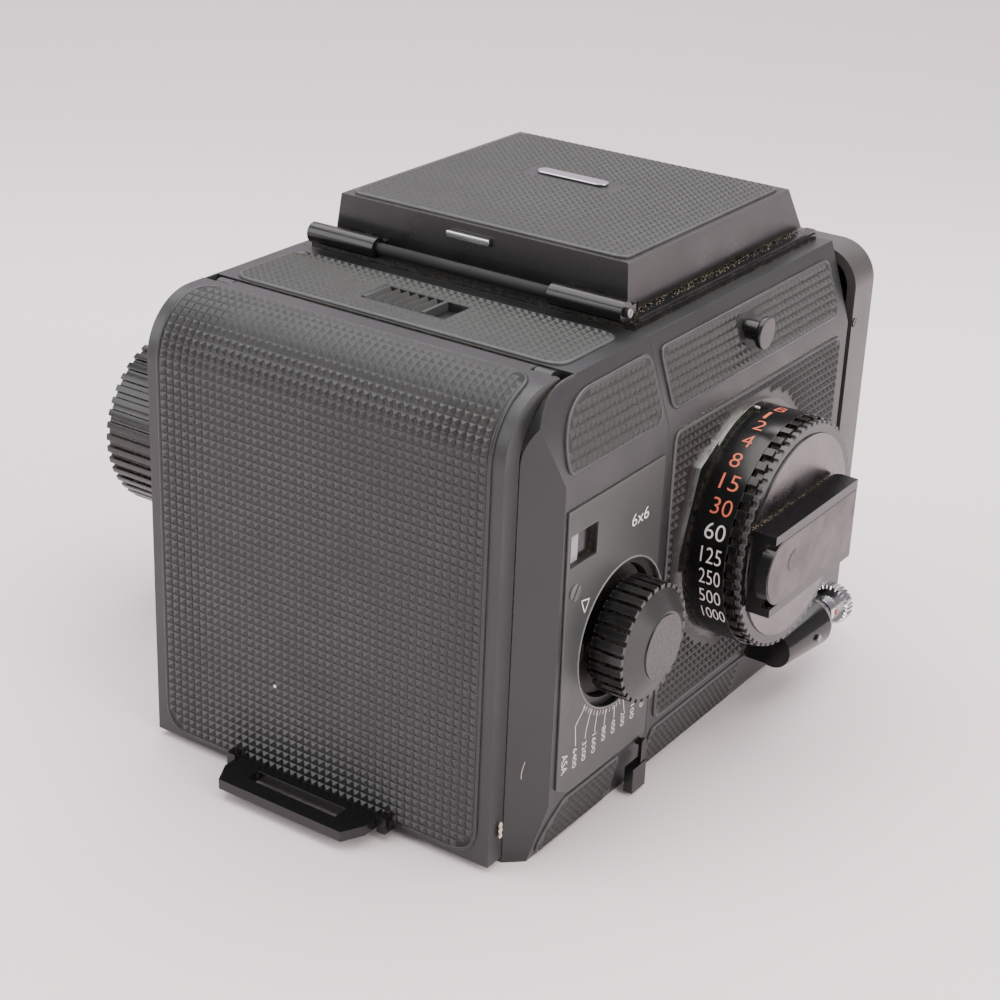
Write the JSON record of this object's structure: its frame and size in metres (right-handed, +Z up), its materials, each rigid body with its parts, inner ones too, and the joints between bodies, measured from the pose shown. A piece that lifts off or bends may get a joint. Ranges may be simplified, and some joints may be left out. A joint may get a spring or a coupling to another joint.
{
  "type": "medium format camera",
  "caption": "Single-lens reflex camera body with folding waist-level hood, film magazine, side speed dial with crank, focusing knob and open lens bayonet.",
  "frame": {"origin": "mouth of the tripod socket, on the base plane under the body", "axes": "+Z up, -Y towards the lens, -X towards the speed dial and crank"},
  "size_m": [0.1702, 0.1584, 0.1164],
  "materials": {
    "satin_black_paint": "satin black stove enamel on die-cast alloy",
    "gloss_black_paint": "semi-gloss black enamel",
    "leatherette": "black pyramid-grain covering",
    "matt_black": "matt light-trap black",
    "chrome": "satin chrome plate",
    "steel": "ground steel",
    "brass": "machined brass",
    "knob_black": "moulded black, fine ribs",
    "glass": "polished",
    "mirror_coat": "front-silvered glass",
    "shutter_cloth": "rubberised black cloth",
    "bellows_cloth": "folded black bellows cloth"
  },
  "bodies": {
    "camera_body": {"body_shell": "satin_black_paint", "tripod_socket": "steel", "mirror_box": "matt_black", "screen_frame": "matt_black", "focusing_screen": "glass", "shutter_gate": "matt_black", "shutter_curtain": "shutter_cloth", "shutter_rollers": "steel", "hood_base": "gloss_black_paint", "body_leather_right": "leatherette", "body_leather_left": "leatherette", "strap_lugs": "gloss_black_paint", "dial_base_plate": "chrome", "release_housing": "gloss_black_paint", "standard_guides": "steel", "focus_studs": "steel", "bellows": "bellows_cloth"},
    "hood_lid": {"lid_shell": "satin_black_paint", "lid_leather": "leatherette", "lid_badge": "chrome", "magnifier_frame": "matt_black", "magnifier_lens": "glass"},
    "hood_latch": {"latch_tab": "chrome"},
    "rear_wall": {"hood_rear_wall": "gloss_black_paint"},
    "left_wall": {"hood_left_wall": "gloss_black_paint"},
    "right_wall": {"hood_right_wall": "gloss_black_paint"},
    "film_magazine": {"magazine_shell": "satin_black_paint", "magazine_side_plate": "satin_black_paint", "magazine_leather": "leatherette", "counter_window": "glass", "film_gate": "matt_black", "pressure_plate": "steel", "film_rollers": "steel"},
    "release_lever": {"magazine_lever": "gloss_black_paint"},
    "slider": {"lock_slider": "knob_black"},
    "speed_index": {"film_speed_ring": "satin_black_paint"},
    "winder": {"winding_knob": "knob_black", "winding_gear": "brass"},
    "take_up": {"take_up_spool": "knob_black", "take_up_gear": "brass"},
    "supply": {"supply_spool": "knob_black"},
    "slide_plate": {"dark_slide": "steel"},
    "back_cover": {"cover_shell": "satin_black_paint", "cover_leather": "leatherette", "cover_hinge_pin": "steel", "bail_brackets": "gloss_black_paint"},
    "bail": {"cover_bail": "gloss_black_paint"},
    "shutter_dial": {"speed_ring": "gloss_black_paint"},
    "crank": {"crank_disc": "satin_black_paint"},
    "crank_grip": {"crank_handle": "gloss_black_paint"},
    "shutter_button": {"release_button": "chrome"},
    "lock_collar": {"release_collar": "chrome"},
    "front_standard": {"standard_frame": "satin_black_paint", "focusing_racks": "steel"},
    "lens_plate": {"lens_board": "matt_black", "bayonet_ring": "chrome"},
    "focus_knob": {"focusing_knob": "knob_black"},
    "idler": {"idler_gear": "brass"},
    "pinion": {"pinion_gear": "brass"},
    "mirror": {"reflex_mirror": "mirror_coat"}
  },
  "joints": [
    {"name": "hood_lid_hinge", "type": "hinge", "parent": "camera_body", "child": "hood_lid", "pos_m": [0, -0.0448, 0.1059], "axis": [1, 0, 0], "range_deg": [0, 90]},
    {"name": "hood_latch_slide", "type": "slide", "parent": "hood_lid", "child": "hood_latch", "axis": [0, -1, 0], "range_m": [0, 0.0012], "stiffness_N_per_m": 400},
    {"name": "rear_wall_hinge", "type": "hinge", "parent": "camera_body", "child": "rear_wall", "pos_m": [0, 0.039, 0.107], "axis": [-1, 0, 0], "range_deg": [0, 90]},
    {"name": "left_wall_hinge", "type": "hinge", "parent": "camera_body", "child": "left_wall", "pos_m": [0.0349, 0, 0.1067], "axis": [0, 1, 0], "range_deg": [0, 90]},
    {"name": "right_wall_hinge", "type": "hinge", "parent": "camera_body", "child": "right_wall", "pos_m": [-0.0349, 0, 0.1067], "axis": [0, -1, 0], "range_deg": [0, 90]},
    {"name": "magazine_slide_off", "type": "slide", "parent": "camera_body", "child": "film_magazine", "axis": [0, 1, 0], "range_m": [0, 0.06]},
    {"name": "magazine_lever_turn", "type": "hinge", "parent": "film_magazine", "child": "release_lever", "pos_m": [-0.0528, 0.0406, 0.0116], "axis": [1, 0, 0], "range_deg": [0, 20]},
    {"name": "lock_slider_slide", "type": "slide", "parent": "film_magazine", "child": "slider", "axis": [-1, 0, 0], "range_m": [0, 0.0035], "stiffness_N_per_m": 300},
    {"name": "film_speed_turn", "type": "hinge", "parent": "film_magazine", "child": "speed_index", "pos_m": [-0.048, 0.0527, 0.0437], "axis": [1, 0, 0], "range_deg": [-75, 75]},
    {"name": "winding_knob_turn", "type": "hinge", "parent": "film_magazine", "child": "winder", "pos_m": [-0.05, 0.0527, 0.0437], "axis": [1, 0, 0], "continuous": true},
    {"name": "take_up_turn", "type": "hinge", "parent": "film_magazine", "child": "take_up", "pos_m": [0, 0.065, 0.02023], "axis": [1, 0, 0], "continuous": true},
    {"name": "supply_spool_turn", "type": "hinge", "parent": "film_magazine", "child": "supply", "pos_m": [0, 0.065, 0.081], "axis": [1, 0, 0], "continuous": true},
    {"name": "dark_slide_draw", "type": "slide", "parent": "film_magazine", "child": "slide_plate", "axis": [1, 0, 0], "range_m": [0, 0.07]},
    {"name": "back_cover_hinge", "type": "hinge", "parent": "film_magazine", "child": "back_cover", "pos_m": [0, 0.068, 0.1015], "axis": [1, 0, 0], "range_deg": [0, 100]},
    {"name": "cover_bail_hinge", "type": "hinge", "parent": "back_cover", "child": "bail", "pos_m": [0, 0.0902, 0.0038], "axis": [1, 0, 0], "range_deg": [0, 80]},
    {"name": "speed_dial_turn", "type": "hinge", "parent": "camera_body", "child": "shutter_dial", "pos_m": [-0.057, 0.002, 0.0513], "axis": [1, 0, 0], "range_deg": [-135, 135]},
    {"name": "crank_turn", "type": "hinge", "parent": "camera_body", "child": "crank", "pos_m": [-0.057, 0.002, 0.0513], "axis": [1, 0, 0], "continuous": true},
    {"name": "crank_grip_fold", "type": "hinge", "parent": "crank", "child": "crank_grip", "pos_m": [-0.0687, -0.0116, 0.0515], "axis": [0, 0, 1], "range_deg": [0, 90]},
    {"name": "release_press", "type": "slide", "parent": "camera_body", "child": "shutter_button", "axis": [0, 1, 0], "range_m": [0, 0.0012], "stiffness_N_per_m": 500},
    {"name": "release_lock_turn", "type": "hinge", "parent": "camera_body", "child": "lock_collar", "pos_m": [-0.059, -0.033, 0.016], "axis": [0, 1, 0], "range_deg": [0, 90]},
    {"name": "focus_slide", "type": "slide", "parent": "camera_body", "child": "front_standard", "axis": [0, -1, 0], "range_m": [0, 0.05], "deforming": ["bellows"]},
    {"name": "lens_tilt", "type": "hinge", "parent": "front_standard", "child": "lens_plate", "pos_m": [0, -0.053, 0.051], "axis": [1, 0, 0], "range_deg": [-8, 8], "deforming": ["bellows"]},
    {"name": "focus_knob_turn", "type": "hinge", "parent": "camera_body", "child": "focus_knob", "pos_m": [0.07, 0.0257, 0.0441], "axis": [-1, 0, 0], "range_deg": [0, 338]},
    {"name": "idler_turn", "type": "hinge", "parent": "camera_body", "child": "idler", "pos_m": [0.043, 0.0002, 0.0441], "axis": [1, 0, 0], "range_deg": [0, 169]},
    {"name": "pinion_turn", "type": "hinge", "parent": "camera_body", "child": "pinion", "pos_m": [0.043, -0.0263, 0.0441], "axis": [-1, 0, 0], "range_deg": [0, 302]},
    {"name": "mirror_swing", "type": "hinge", "parent": "camera_body", "child": "mirror", "pos_m": [0, 0.026, 0.087], "axis": [-1, 0, 0], "range_deg": [0, 45]}
  ],
  "couplings": [
    {"joint": "rear_wall_hinge", "follows": "hood_lid_hinge", "ratio": 1},
    {"joint": "left_wall_hinge", "follows": "hood_lid_hinge", "ratio": 1},
    {"joint": "right_wall_hinge", "follows": "hood_lid_hinge", "ratio": 1},
    {"joint": "take_up_turn", "follows": "winding_knob_turn", "ratio": -0.76667},
    {"joint": "focus_knob_turn", "follows": "focus_slide", "rad_per_m": 117.65},
    {"joint": "idler_turn", "follows": "focus_slide", "rad_per_m": 58.824},
    {"joint": "pinion_turn", "follows": "focus_slide", "rad_per_m": 105.26}
  ]
}
